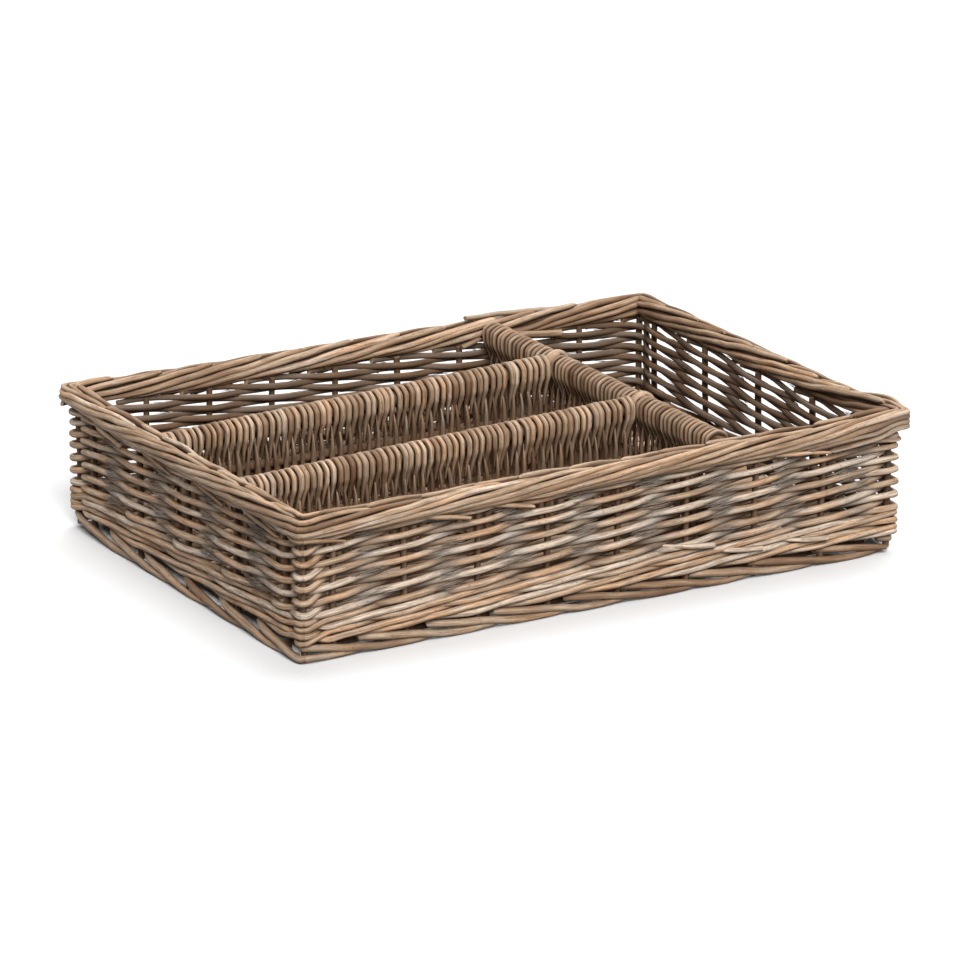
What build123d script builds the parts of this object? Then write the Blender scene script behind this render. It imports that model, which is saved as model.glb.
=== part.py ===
"""Willow cutlery basket: a rectangular tray woven from rods, with one cross divider and two long dividers.

The origin is at the middle of the underside, X runs along the long walls, and Z is up.
Each rod is a run of straight lengths with a few flat sides, mitred where it bends.
"""

import os
from math import cos, floor, pi, sin, sqrt
from typing import NamedTuple

from build123d import *

os.makedirs("parts", exist_ok=True)

# Outer size, over the top border
length = 400.0
width = 292.0
height = 85.0
border_overhang = 4.0

# Rod diameters
stake_d = 4.6
weaver_d = 3.5
border_rod_d = 4.4
foot_rod_d = 4.2
base_stick_d = 5.0
base_weaver_d = 5.4
rail_d = 9.0
divider_stick_d = 5.0
strand_d = 3.5
lashing_d = 2.6

# Room left between rods that lie against each other, and where one rod ends at another
clearance = 0.15
butt_gap = 1.4

# Setting out of the walls: a stake stands close to the post where the front wall starts, and at both
# ends of the short walls
long_wall_spaces = 9
short_wall_spaces = 6
corner_gap = 18.0
weaver_start = 0.3
wale_rounds = 2
stake_tip_above_floor = 2.0

# Setting out of the foot: spaces between stakes that a rod takes to reach the floor, and to its end
foot_fall_spaces = 1.5
foot_end_spaces = 1.75

# Setting out of the top border, a rope whose rods wind round its middle by one place at each stake
border_rise_in_rods = 1.15
border_spread_in_rods = 1.536
border_short_spaces = 6
border_places = 6
border_rod_spaces = 5

# Setting out of the base
base_sticks = 3
base_above_floor = 1.5

# Setting out of the dividers
cross_divider_x = 82.0
front_divider_y = -42.0
rear_divider_y = 53.0
rail_drop = 9.0
strand_pitch = 5.0
strand_tail = 5.0

# A strand passes the sticks on a slant, so it stands off by this much more than the two radii
middle_slant = 1.08
foot_slant = 1.3

# Flat sides of each kind of rod
weaver_sides = 4
stake_sides = 4
strand_sides = 3
stick_sides = 6
rail_sides = 10

# A weaver passes a stake on a slant too, steepest at the corners, and a wale rod falls behind a stake
wale_fall = stake_d / 2
weaver_reach = stake_d / 2 + weaver_d / 2 + clearance
weaver_offset = weaver_reach / sqrt(1 - (2 * weaver_reach / (corner_gap - wale_fall)) ** 2)
weave_half = weaver_offset + weaver_d / 2
row_pitch = weaver_d + clearance
wale_pitch = weaver_d + 2 * clearance

# The line of the stakes, seen from above
stake_x = length / 2 - border_overhang - weave_half
stake_y = width / 2 - border_overhang - weave_half
inside_x = stake_x - weave_half - clearance
inside_y = stake_y - weave_half - clearance

# Levels from the floor up
foot_half = foot_rod_d / 2 / sqrt(2)
foot_step = 2 * foot_half + clearance
foot_drop = 2 * foot_step
foot_top = foot_drop + foot_step
wale_top = foot_top + wale_rounds * 2 * wale_pitch
border_rise = border_rise_in_rods * border_rod_d
border_spread = border_spread_in_rods * border_rod_d
border_middle = height - border_rod_d / 2 - border_rise
border_bottom = border_middle - border_rise - border_rod_d / 2
weaver_rows = floor((border_bottom - wale_top) / row_pitch)

# The border's middle stands out from the stakes, so that its outermost rods make the overhang
border_widest = border_spread * sin(2 * pi / border_places)
border_out = weave_half + border_overhang - border_rod_d / 2 - border_widest


class Wall(NamedTuple):
    """One wall: s runs along it from its first corner post, n is outward from the stakes.

    Where turns is set, rods outside the stakes go round the corners, and elsewhere they stop short.
    """

    name: str
    corner: tuple
    along: tuple
    outward: tuple
    span: float
    stakes: list
    spaces: int
    first: int
    turns: bool

    def at(self, s, n, z):
        x = self.corner[0] + s * self.along[0] + n * self.outward[0]
        y = self.corner[1] + s * self.along[1] + n * self.outward[1]
        return (x, y, z)


long_span = 2 * stake_x
short_span = 2 * stake_y
front_pitch = (long_span - corner_gap) / (long_wall_spaces - 1)
front_stakes = [corner_gap + front_pitch * k for k in range(long_wall_spaces - 1)]
back_stakes = [long_span * k / long_wall_spaces for k in range(1, long_wall_spaces)]
short_pitch = (short_span - 2 * corner_gap) / (short_wall_spaces - 2)
short_stakes = [corner_gap + short_pitch * k for k in range(short_wall_spaces - 1)]
half_way = long_wall_spaces + short_wall_spaces
front_posts = (long_span, front_stakes, long_wall_spaces)
back_posts = (long_span, back_stakes, long_wall_spaces)
short_posts = (short_span, short_stakes, border_short_spaces)
walls = [
    Wall("front", (-stake_x, -stake_y), (1, 0), (0, -1), *front_posts, 0, True),
    Wall("right", (stake_x, -stake_y), (0, 1), (1, 0), *short_posts, long_wall_spaces, False),
    Wall("back", (stake_x, stake_y), (-1, 0), (0, 1), *back_posts, half_way, True),
    Wall("left", (-stake_x, stake_y), (0, -1), (-1, 0), *short_posts, half_way + long_wall_spaces, False),
]


def rod(points, diameter, sides, across=None, turn=0):
    """A rod bent along points, whose section has a corner on the across direction, turned by turn."""
    with BuildPart() as piece:
        with BuildLine() as route:
            Polyline(*points)
        heading = route.line % 0
        start = Plane(points[0], x_dir=across or heading.cross(Vector(0, 0, 1)), z_dir=heading)
        with BuildSketch(start):
            RegularPolygon(diameter / 2, sides, rotation=turn)
        sweep(transition=Transition.RIGHT)
    return piece.part


def finish(piece, name):
    """Names a finished piece and writes it."""
    piece.part.label = name
    export_step(piece.part, f"parts/{name}.step")


def gather(rods, name):
    """Makes one named piece of rods that lie together, and writes it."""
    with BuildPart() as bundle:
        add(rods)
    finish(bundle, name)


def from_corner(wall, stations, diameter):
    """The (s, n, z) stations of a rod, where one at the first corner is changed to turn or stop there."""
    (end_s, end_n, end_z), (inner_s, inner_n, inner_z) = stations[:2]
    if end_s > 0:
        return stations
    if end_n > 0 and wall.turns:
        return [(-end_n, 0, end_z), (-end_n, end_n, end_z), *stations]
    if end_n > 0:
        stop = butt_gap
        stop_n = end_n + (inner_n - end_n) * stop / inner_s
    else:
        stop = diameter / 2 - end_n + butt_gap if wall.turns else -end_n - diameter / 2
        stop_n = end_n
    return [(stop, stop_n, end_z + (inner_z - end_z) * stop / inner_s), *stations[1:]]


def along_wall(wall, stations, diameter):
    """The points of a rod through (s, n, z) stations, finished at any corner that it reaches."""
    stations = from_corner(wall, stations, diameter)
    backward = [(wall.span - s, n, z) for s, n, z in reversed(stations)]
    backward = from_corner(wall, backward, diameter)
    return [wall.at(wall.span - s, n, z) for s, n, z in reversed(backward)]


def posts_of(wall):
    """Places of the corner posts and stakes along a wall, each with its number round the basket."""
    return list(enumerate([0.0, *wall.stakes, wall.span], wall.first))


def row_z(row):
    """Height of the middle of a row of the weave."""
    return wale_top + (row + 0.5) * row_pitch


def weavers(wall):
    """Rods of the weave, one from each stake: each climbs a row per stake, outside and inside in turn."""
    places = [0.0, *wall.stakes, wall.span]
    starts = len(places) if wall.turns else len(places) - 1
    rods = []
    for start in range(2 - weaver_rows, starts):
        stations = []
        if start > 0:
            before = weaver_start * (places[start] - places[start - 1])
            stations.append((places[start] - before, (1 - 2 * weaver_start) * weaver_offset, row_z(0)))
        for row in range(weaver_rows):
            if 0 <= start + row < len(places):
                n = weaver_offset if row % 2 == 0 else -weaver_offset
                stations.append((places[start + row], n, row_z(row)))
        rods.append(rod(along_wall(wall, stations, weaver_d), weaver_d, weaver_sides))
    return rods


def wale_rod(wall, level, strand):
    """One of three rods that pass outside two stakes, rising, and inside the third, falling."""
    low = foot_top + (2 * level + 0.5) * wale_pitch
    high = low + wale_pitch
    stations = []
    for k, s in posts_of(wall):
        step = (k - strand) % 3
        if step == 1:
            stations.append((s, weaver_offset, low))
        elif step == 2:
            stations.append((s, weaver_offset, high))
        else:
            if s > 0:
                stations.append((s - (wale_fall if s < wall.span else 0), -weaver_offset, high))
            if s < wall.span:
                stations.append((s + (wale_fall if s > 0 else 0), -weaver_offset, low))
    return rod(along_wall(wall, stations, weaver_d), weaver_d, weaver_sides)


def border_rods(wall):
    """Rods of the top border: each starts on top, goes down inside and under, and climbs outside."""
    pitch = wall.span / wall.spaces
    rods = []
    for start in range(1 - border_rod_spaces, wall.spaces):
        stations = []
        for step in range(border_rod_spaces + 1):
            if 0 <= start + step <= wall.spaces:
                angle = pi + 2 * pi * step / border_places
                n = border_out + border_spread * sin(angle)
                stations.append(((start + step) * pitch, n, border_middle - border_rise * cos(angle)))
        rods.append(rod(along_wall(wall, stations, border_rod_d), border_rod_d, weaver_sides))
    return rods


def foot_rods(wall):
    """Rods of the foot: each comes out under the wale at a stake and falls to the floor further on."""
    pitch = wall.span / wall.spaces
    n = stake_d / 2 + foot_half + clearance
    past = n + foot_half if wall.turns else n - foot_half - clearance
    slope = foot_drop / (foot_fall_spaces * pitch)
    rods = []
    for start in range(-1, wall.spaces):
        first_s = start * pitch
        low_s = first_s + foot_fall_spaces * pitch
        end_s = first_s + foot_end_spaces * pitch
        top_z = foot_half + foot_drop
        begin = max(first_s, -past)
        end = min(end_s, wall.span + past)
        stations = [(begin, n, top_z - slope * (begin - first_s))]
        if low_s < end:
            stations.append((low_s, n, foot_half))
        stations.append((end, n, max(foot_half, top_z - slope * (end - first_s))))
        points = [wall.at(*p) for p in stations]
        rods.append(rod(points, foot_rod_d, weaver_sides, turn=45))
    return rods


# Walls: stakes, foot, wale, weave and top border of each
stake_length = border_bottom - clearance - stake_tip_above_floor
for wall in walls:
    with BuildPart() as stakes:
        with BuildSketch(Plane.XY.offset(stake_tip_above_floor)):
            with Locations(*[wall.at(s, 0, 0)[:2] for s in wall.stakes]):
                RegularPolygon(stake_d / 2, stake_sides)
        extrude(amount=stake_length)
    finish(stakes, f"{wall.name}_stakes")

    wale_rods = [wale_rod(wall, level, strand) for level in range(wale_rounds) for strand in range(3)]
    gather(foot_rods(wall), f"{wall.name}_foot_border")
    gather(wale_rods, f"{wall.name}_wale")
    gather(weavers(wall), f"{wall.name}_weavers")
    gather(border_rods(wall), f"{wall.name}_top_border")

with BuildPart() as corner_posts:
    with BuildSketch(Plane.XY.offset(stake_tip_above_floor)):
        with GridLocations(long_span, short_span, 2, 2):
            RegularPolygon(stake_d / 2, stake_sides)
    extrude(amount=stake_length)
finish(corner_posts, "corner_posts")

# Base: sticks across the tray, with rods woven over and under them from end to end
base_reach = (base_stick_d + base_weaver_d) / 2 + clearance
base_half = inside_x - butt_gap
base_space = 2 * base_half / (base_sticks + 1)
base_offset = base_reach / sqrt(1 - (2 * base_reach / base_space) ** 2)
base_middle = base_above_floor + base_offset + base_weaver_d / 2
base_top = base_middle + base_offset + base_weaver_d / 2
base_rows = floor(2 * inside_y / (base_weaver_d + clearance))
base_pitch = (2 * inside_y - base_weaver_d) / (base_rows - 1)
base_places = [base_space * k - base_half for k in range(base_sticks + 2)]

with BuildPart() as base_stick_set:
    with BuildSketch(Plane.XZ.offset(-inside_y)):
        with Locations(*[(x, base_middle) for x in base_places[1:-1]]):
            RegularPolygon(base_stick_d / 2, stick_sides)
    extrude(amount=2 * inside_y)
finish(base_stick_set, "base_sticks")

base_rods = []
for row in range(base_rows):
    y = base_weaver_d / 2 - inside_y + row * base_pitch
    lifts = [base_offset if (row + k) % 2 == 0 else -base_offset for k in range(base_sticks + 2)]
    points = [(x, y, base_middle + lift) for x, lift in zip(base_places, lifts)]
    base_rods.append(rod(points, base_weaver_d, strand_sides, turn=90))
gather(base_rods, "base_weavers")

# Dividers: a rail along the top, two sticks below it, and strands hooked over the rail
strand_r = strand_d / sqrt(3)
strand_over_rail = rail_d / 2 + clearance + strand_r / 2
strand_past_stick = middle_slant * (divider_stick_d / 2 + strand_r + clearance)
strand_foot_spread = foot_slant * (divider_stick_d / 2 + strand_r / 2 + clearance)
strand_end_z = base_top + 2 * clearance
bottom_stick_z = base_top + divider_stick_d / 2 + clearance
rail_z = height - strand_over_rail - strand_r
middle_stick_z = (strand_end_z + rail_z) / 2
divider_half = max(strand_over_rail + strand_r, strand_foot_spread + strand_r) + clearance
lashing_reach = (rail_d + lashing_d) / 2 + clearance


class Divider(NamedTuple):
    """One divider: t runs along it from its first end, and q is across it."""

    name: str
    start: tuple
    along: tuple
    side: tuple
    rail_span: float
    stick_span: float
    drop: float

    def at(self, t, q, z):
        x = self.start[0] + t * self.along[0] + q * self.side[0]
        y = self.start[1] + t * self.along[1] + q * self.side[1]
        return (x, y, z)

    def rail_height(self, t):
        return rail_z - self.drop * (1 - t / self.rail_span)


long_rail_span = cross_divider_x - rail_d / 2 - clearance + inside_x
long_stick_span = cross_divider_x - divider_half + inside_x
long_spans = (long_rail_span, long_stick_span, rail_drop)
cross_spans = (2 * inside_y, 2 * inside_y, 0.0)
front_divider = Divider("front_divider", (-inside_x, front_divider_y), (1, 0), (0, 1), *long_spans)
rear_divider = Divider("rear_divider", (-inside_x, rear_divider_y), (1, 0), (0, 1), *long_spans)
cross_divider = Divider("cross_divider", (cross_divider_x, inside_y), (0, -1), (1, 0), *cross_spans)


def spread(first, last, pitch):
    """Places from first to last, no closer together than pitch."""
    count = floor((last - first) / pitch)
    return [first + (last - first) * k / count for k in range(count + 1)]


def strand(divider, t, leg, hooked=True):
    """A strand over the rail, with its long leg on side leg, passing the sticks in and out."""
    top = divider.rail_height(t)
    route = [
        (leg * strand_over_rail, top + strand_over_rail),
        (leg * strand_over_rail, top - strand_tail),
        (-leg * strand_past_stick, middle_stick_z),
        (leg * strand_foot_spread, strand_end_z),
    ]
    if hooked:
        tail_end = (-leg * strand_over_rail, top - strand_tail)
        tail_top = (-leg * strand_over_rail, top + strand_over_rail)
        route = [tail_end, tail_top] + route
    else:
        route = [(-leg * strand_r, top + strand_over_rail)] + route
    points = [divider.at(t, q, z) for q, z in route]
    across = Vector(*divider.along, 0)
    return rod(points, 2 * strand_r, strand_sides, across=across, turn=-90 * leg)


def hooked_strands(divider, first, last):
    """Strands from first to last along a divider, with their long legs on its two sides in turn."""
    places = spread(first, last, strand_pitch)
    return [strand(divider, t, 1 if k % 2 else -1) for k, t in enumerate(places)]


for divider in (front_divider, rear_divider, cross_divider):
    rail_ends = [divider.at(t, 0, divider.rail_height(t)) for t in (0, divider.rail_span)]
    middle_ends = [divider.at(t, 0, middle_stick_z) for t in (0, divider.stick_span)]
    bottom_ends = [divider.at(t, 0, bottom_stick_z) for t in (0, divider.stick_span)]
    gather([rod(rail_ends, rail_d, rail_sides)], f"{divider.name}_rail")
    gather([rod(middle_ends, divider_stick_d, stick_sides)], f"{divider.name}_middle_stick")
    gather([rod(bottom_ends, divider_stick_d, stick_sides)], f"{divider.name}_bottom_stick")

for divider in (front_divider, rear_divider):
    strands = hooked_strands(divider, strand_d / 2, long_stick_span - strand_d / 2)
    gather(strands, f"{divider.name}_strands")

# The cross divider leaves room where each long rail meets it, and two short strands fill that room
junctions = [inside_y - rear_divider_y, inside_y - front_divider_y]
junction_half = lashing_reach + lashing_d / 2 + strand_d / 2 + clearance
bay_starts = [strand_d / 2, junctions[0] + junction_half, junctions[1] + junction_half]
bay_ends = [junctions[0] - junction_half, junctions[1] - junction_half, 2 * inside_y - strand_d / 2]
cross_strands = []
for first, last in zip(bay_starts, bay_ends):
    cross_strands += hooked_strands(cross_divider, first, last)
for t in junctions:
    for shift in (-strand_d / 2 - clearance, strand_d / 2 + clearance):
        cross_strands.append(strand(cross_divider, t + shift, 1, hooked=False))
gather(cross_strands, "cross_divider_strands")

# Lashings: each goes over the cross rail, down, under the end of a long rail and back over
for divider, t in ((rear_divider, junctions[0]), (front_divider, junctions[1])):
    under = divider.rail_height(long_rail_span) - lashing_reach
    over = rail_z + lashing_reach
    loop = [
        (-lashing_reach, lashing_reach, rail_z - strand_tail),
        (-lashing_reach, lashing_reach, over),
        (-lashing_reach, -lashing_reach, over),
        (-lashing_reach, -lashing_reach, under),
    ]
    back = [(-along, q, z) for along, q, z in reversed(loop)]
    points = [cross_divider.at(t + along, q, z) for along, q, z in loop + back]
    lashing = rod(points, lashing_d, weaver_sides, across=Vector(0, 1, 0))
    gather([lashing], f"{divider.name}_lashing")
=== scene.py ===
import copy
import math

import bpy
import numpy as np
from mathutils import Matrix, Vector


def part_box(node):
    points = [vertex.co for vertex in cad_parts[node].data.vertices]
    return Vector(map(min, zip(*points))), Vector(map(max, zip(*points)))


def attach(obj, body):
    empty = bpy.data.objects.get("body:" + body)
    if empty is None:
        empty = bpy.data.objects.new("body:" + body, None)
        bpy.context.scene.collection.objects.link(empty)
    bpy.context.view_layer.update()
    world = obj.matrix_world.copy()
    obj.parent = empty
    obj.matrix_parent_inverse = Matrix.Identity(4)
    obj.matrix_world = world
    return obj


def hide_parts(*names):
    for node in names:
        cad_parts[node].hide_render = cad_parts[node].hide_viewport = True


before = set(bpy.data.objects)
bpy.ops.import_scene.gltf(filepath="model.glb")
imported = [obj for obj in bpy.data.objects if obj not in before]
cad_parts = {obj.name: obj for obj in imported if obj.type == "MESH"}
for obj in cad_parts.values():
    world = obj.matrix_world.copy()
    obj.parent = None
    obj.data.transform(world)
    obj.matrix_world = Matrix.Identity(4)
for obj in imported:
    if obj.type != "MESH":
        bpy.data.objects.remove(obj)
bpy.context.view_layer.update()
rng = np.random.default_rng(41)

# Lengths are in millimetres, and each mesh is scaled to metres when it is made. A spread is the usual
# size of a random change. A station is a place on a rod: distance round the basket, outward and height.
MM = 0.001


def box_mm(node):
    """The lowest and highest corner of a node of the frame."""
    low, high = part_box(node)
    return np.array(low) / MM, np.array(high) / MM


# Radii
STAKE_R = 2.3
STAKE_SEEN_R = 1.9
WEAVER_R = 1.88
WALE_R = 1.8
FOOT_R = 2.05
BORDER_R = 1.85
CORE_R = 3.6
RAIL_R = 4.1
STRAND_R = 1.5
CROSS_STRAND_R = 1.12
LASHING_R = 1.3
BASE_R = 2.6
BASE_STICK_R = 2.5
STICK_R = 2.5
TIP_RADII = (1.7, 1.5)
CUT_END_RADII = (0.8, 1.4, 1.6)

# Form of a rod: the distance between its rings, its kinks, swellings and cut ends
STEP = 3.5
KINK_EVERY = 11
KINKS = 0.17
STRAND_KINKS = 0.14
FRAY_KINKS = 0.05
SWELLING_EVERY = 14
SWELLING = 0.035
OVAL = 0.04
BLUNT_END = 0.25
STICK_SLANT = 0.1
SLANT = 0.25
BORDER_SLANT = 0.3
FAN_SLANT = 0.4
STEEP_SLANT = 0.5

# Shade that other rods cast on a rod
SIDE_SHADE = 0.12
LONG_SHADE = 0.24
FOOT_SHADE = 0.3
PEG_SHADE = 0.35
CROSS_SHADE = 0.37
EDGE_SHADE = 0.5
DEEP_SHADE = 0.7

# Painted light on the inner side of a rod, and how both sides change as the rod goes in and out of the wall
INSIDE_LIGHT = 0.1
INSIDE_CHANGE = 0.1
OUTSIDE_GAIN = 0.9
OUTSIDE_BIAS = 0.35
GREY_AT_SIDE = 0.4
CUT_SHADE = 0.7

# Tones, from dark at 0 to pale at 1
PALEST = 0.98
STICK_TONE = 0.05
CORE_TONE = 0.1
EDGE_TONE = 0.2
LASHING_TONE = 0.6
STAKE_TONE_SHARE = 0.6
FRAY_TONES = (0.0, 0.6, 0.9, 1.0)
LOOSE_GREY = 0.6

# Walls, in the order in which they are followed, and their stakes
LONG_SPACES = 9
SHORT_SPACES = 6
CORNER_GAP = 18
FRONT, RIGHT, BACK, LEFT = range(4)
STAKE_LEAN = 0.8
TIP_CHANCE = 0.6
ACROSS_STAKES = (0.6, 0.8, 0)

# Corners: a station closer than AT_CORNER is on one, and a rod further out than its post turns outside it
AT_CORNER = 0.5
OUTSIDE_POST = 1
CORNER_SHARPNESS = 0.84
CORNER_OFFSET = 3.9
LAPS = 3

# Weavers. FLAT_SHARE is the part of a space over which a weaver stays on its side of the wall.
ROWS = 13
ROW_CROWDING = 0.1
WEAVER_OFFSET = 2.7
FLAT_SHARE = 0.13
WEAVE_OVERLAP = 0.5
OUT_SPREAD = 0.3
HEIGHT_SPREAD = 0.2
WEAVER_BUTT = ((-24, -3.6, -3),)
WEAVER_TIP = ((12, 0, 0.5),)
CROSSING_HALF = 10
FRAYED_PATCHES = 7
FRAYS_PER_PATCH = 11

# Wale: the posts that its rods run between, and their rise and turn, in pitches, at the stake that they
# pass inside and at the two that they pass outside
WALE_ROUNDS = 2
WALE_RODS = 3
WALE_LENGTHS = ((0, 12), (12, 21), (21, 30))
WALE_FLAT = 5
WALE_RISES = (0.5, 0, 1)
WALE_TURNS = (-0.45, 0.12, 0.12)

# Rod ends that are cut off outside: wall, distance along it and height, and the path that leads there
CUT_ENDS = (
    (FRONT, 259, 24.7), (FRONT, 291, 17.3), (FRONT, 335, 16.0), (RIGHT, 150, 20),
    (BACK, 60, 21), (BACK, 210, 18), (BACK, 300, 23), (RIGHT, 60, 36),
)
CUT_END_PATH = ((-34, -1.0, 3.4), (-16, 5.6, 1.5), (0, 6.2, 0))

# Foot
FOOT_START = 1
FOOT_START_SPREAD = 1.5
FOOT_END_GAP = 3
SHORTEST_RUN = 4

# Top border: how far its rods lie from the middle of the rope, and the spaces in which they cross each face
BORDER_OUTER = 6.05
BORDER_INNER = 5.3
BORDER_STARTS = {"front": 12, "right": 8, "back": 12, "left": 8}
BORDER_FIRST = 0.25
BORDER_START_SPREAD = 2.5
BORDER_SPREAD = 0.25
INNER_SPACES = 4.0
OUTER_SPACES = 5.2
BORDER_STOPS = 16
SINK_SPACES = 0.9
SINK_DEPTH = 2.6
CORE_STOPS = 60
CORE_START = 5
CORNER_LIFT = 2.4
LIFT_WIDTH = 30

# Rods that stand out of the border: in the corners and at the back end of the cross rail
LOOP_RODS = 4
FAN_RODS = 3
ROD_DROP = 3.3
RAISED_PATH = ((-13, 0, 1.0), (8, 0.5, 0.5), (36, 1.5, -1.2), (68, 3.5, -4.5))
PEG_PATH = ((2, 1.0, 4.5), (24, -1.0, 2.3), (47, -2.6, 0.5))
STUB_PATH = ((-6, 2.0, 3.5), (-12, 0.5, 2.2), (-20, -1.2, 1.0))

# Base
BASE_RODS = 46
BASE_FLAT = 8
BASE_SPREAD = 0.2

# Dividers
RAIL_DROP = 9
LONG_PITCH = 4.15
CROSS_PITCH = 4.4
CROSS_BARE_END = 5
STRANDS_PER_SPEAR = 1.45
LASHING_HALF = 4
LASHING_TURNS = 3
LASHING_GAP = 0.3
STOPS_PER_TURN = 8

# Depth below a rail at which shade begins to grow, the depth over which it would grow by 1, and its most
SHADE_START = 3
SHADE_DEPTH = 34
SHADE_MOST = 0.55

# Half of a strand from its leg to the top of the rail: the share of its lean, its distance to the side and
# height as shares of its reach round the rail, and a length added to the height
STRAND_HALF = (
    (0.7, 0.42, 0, -13),
    (0.4, 0.72, 0, -8),
    (0.1, 1.0, 0, -4.6),
    (0, 1.06, 0, -3.2),
    (0, 1.06, 0.38, 0),
    (0, 0.94, 0.64, 0),
    (0, 0.2, 1.04, 0),
)
STRAND_STEP = 2.2
STRAND_TAPER = (0.35, 0.8, 1.05, 1.1, 1.1, 1.1, 1.05, 0.8, 0.35)
SPEAR_STEP = 2.8
SPEAR_TAPER = (0.15, 0.6, 0.95, 1.05, 1.1)

# Places from the frame
STAKE_X, STAKE_Y = box_mm("corner_posts")[1][:2] - STAKE_R
STAKE_LOW, STAKE_HIGH = (corner[2] for corner in box_mm("front_stakes"))
WALE_LOW, WALE_HIGH = (corner[2] for corner in box_mm("front_wale"))
WALE_PITCH = (WALE_HIGH - WALE_LOW) / (2 * WALE_ROUNDS)
FOOT_HIGH = box_mm("front_foot_border")[1][2]
BORDER_LOW, BORDER_HIGH = (corner[2] for corner in box_mm("front_top_border"))
BORDER_OUT = -box_mm("front_top_border")[0][1] - STAKE_Y
WEAVE_LOW = box_mm("front_weavers")[0][2]
WEAVE_HIGH = BORDER_LOW + WEAVE_OVERLAP
ROPE_OUT = BORDER_OUT - BORDER_R - BORDER_OUTER
ROPE_HEIGHT = (BORDER_LOW + BORDER_HIGH) / 2
LONG_SPAN = 2 * STAKE_X
SHORT_SPAN = 2 * STAKE_Y
ROUND_TRIP = 2 * (LONG_SPAN + SHORT_SPAN)
LIFTED_CORNERS = (LONG_SPAN, 2 * LONG_SPAN + SHORT_SPAN)


class Wall:
    """One side of the basket, followed with the outside on the right. Spaces at some corners are narrow."""

    def __init__(self, name, along, start, narrow_first=1, narrow_last=1):
        span, spaces = (LONG_SPAN, LONG_SPACES) if along[0] else (SHORT_SPAN, SHORT_SPACES)
        wide_spaces = spaces - narrow_first - narrow_last
        wide = (span - CORNER_GAP * (narrow_first + narrow_last)) / wide_spaces
        gaps = [CORNER_GAP] * narrow_first + [wide] * wide_spaces + [CORNER_GAP] * narrow_last
        self.name = name
        self.along = np.array(along, float)
        self.outward = np.array((along[1], -along[0]), float)
        self.corner = (self.outward - self.along) * (STAKE_X, STAKE_Y)
        self.start = start
        self.span = sum(gaps)
        self.posts = [start + sum(gaps[:count]) for count in range(len(gaps))]


WALLS = [
    Wall("front", (1, 0), 0, narrow_last=0),
    Wall("right", (0, 1), LONG_SPAN),
    Wall("back", (-1, 0), LONG_SPAN + SHORT_SPAN, narrow_first=0, narrow_last=0),
    Wall("left", (0, -1), 2 * LONG_SPAN + SHORT_SPAN),
]
POSTS = [post for wall in WALLS for post in wall.posts]
CORNERS = [wall.start + lap * ROUND_TRIP for lap in range(LAPS) for wall in WALLS]


def post_at(number):
    """How far round the basket a post stands, also for numbers past the last post."""
    return POSTS[number % len(POSTS)] + ROUND_TRIP * (number // len(POSTS))


def wall_at(round_at):
    """The wall at a distance round the basket, and the distance from its first corner."""
    rounding = 1e-6
    round_at = round_at % ROUND_TRIP
    wall = [wall for wall in WALLS if wall.start <= round_at + rounding][-1]
    return wall, round_at - wall.start


def corner_points(wall_number, out):
    """Points that take a rod round the first corner of a wall, outside or inside its post."""
    before, after = WALLS[wall_number - 1].outward, WALLS[wall_number].outward
    corner = WALLS[wall_number].corner
    diagonal = corner + CORNER_SHARPNESS * out * (before + after)
    if out > OUTSIDE_POST:
        return [corner + out * before, diagonal, corner + out * after]
    return [diagonal]


def route(stations):
    """Points for stations, with the corners that lie between them."""
    passed = stations[:1]
    for here, there in zip(stations, stations[1:]):
        for corner in CORNERS:
            if here[0] + AT_CORNER < corner < there[0] - AT_CORNER:
                share = (corner - here[0]) / (there[0] - here[0])
                out, height = (here[i] + share * (there[i] - here[i]) for i in (1, 2))
                passed.append((corner, out, height))
        passed.append(there)
    points = []
    for at, out, height in passed:
        wall, along = wall_at(at)
        places = [wall.corner + along * wall.along + out * wall.outward]
        if along < AT_CORNER:
            places = corner_points(WALLS.index(wall), out)
        points += [(*place, height) for place in places]
    return np.array(points)


def smooth_path(points, step):
    """A smooth curve through points, as places about one step apart."""
    shortest = 1e-4
    points = np.asarray(points, float)
    padded = np.vstack([2 * points[0] - points[1], points, 2 * points[-1] - points[-2]])
    places = []
    for number in range(1, len(padded) - 2):
        a, b, c, d = padded[number - 1:number + 3]
        spans = [max(np.linalg.norm(q - p), shortest) ** 0.5 for p, q in ((a, b), (b, c), (c, d))]
        t_b, t_c, t_d = np.cumsum(spans)
        count = max(2, math.ceil(np.linalg.norm(c - b) / step))
        t = np.linspace(t_b, t_c, count, endpoint=False)[:, None]
        ab = a + (b - a) * t / t_b
        bc = b + (c - b) * (t - t_b) / (t_c - t_b)
        cd = c + (d - c) * (t - t_c) / (t_d - t_c)
        abc = ab + (bc - ab) * t / t_c
        bcd = bc + (cd - bc) * (t - t_b) / (t_d - t_b)
        places.append(abc + (bcd - abc) * (t - t_b) / (t_c - t_b))
    places.append(padded[-2:-1])
    return np.vstack(places)


def drift(along, every, amount):
    """A slow random change along a rod."""
    knots = np.arange(-every, along[-1] + 2 * every, every)
    return np.interp(along, knots, rng.normal(0, amount, len(knots)))


def at_each(value, centre):
    """A value for each place on a rod, from a number or a function of the places."""
    return value(centre) if callable(value) else np.full(len(centre), float(value))


def unit(vectors):
    """Vectors brought to length one."""
    return vectors / np.linalg.norm(vectors, axis=-1, keepdims=True)


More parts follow.
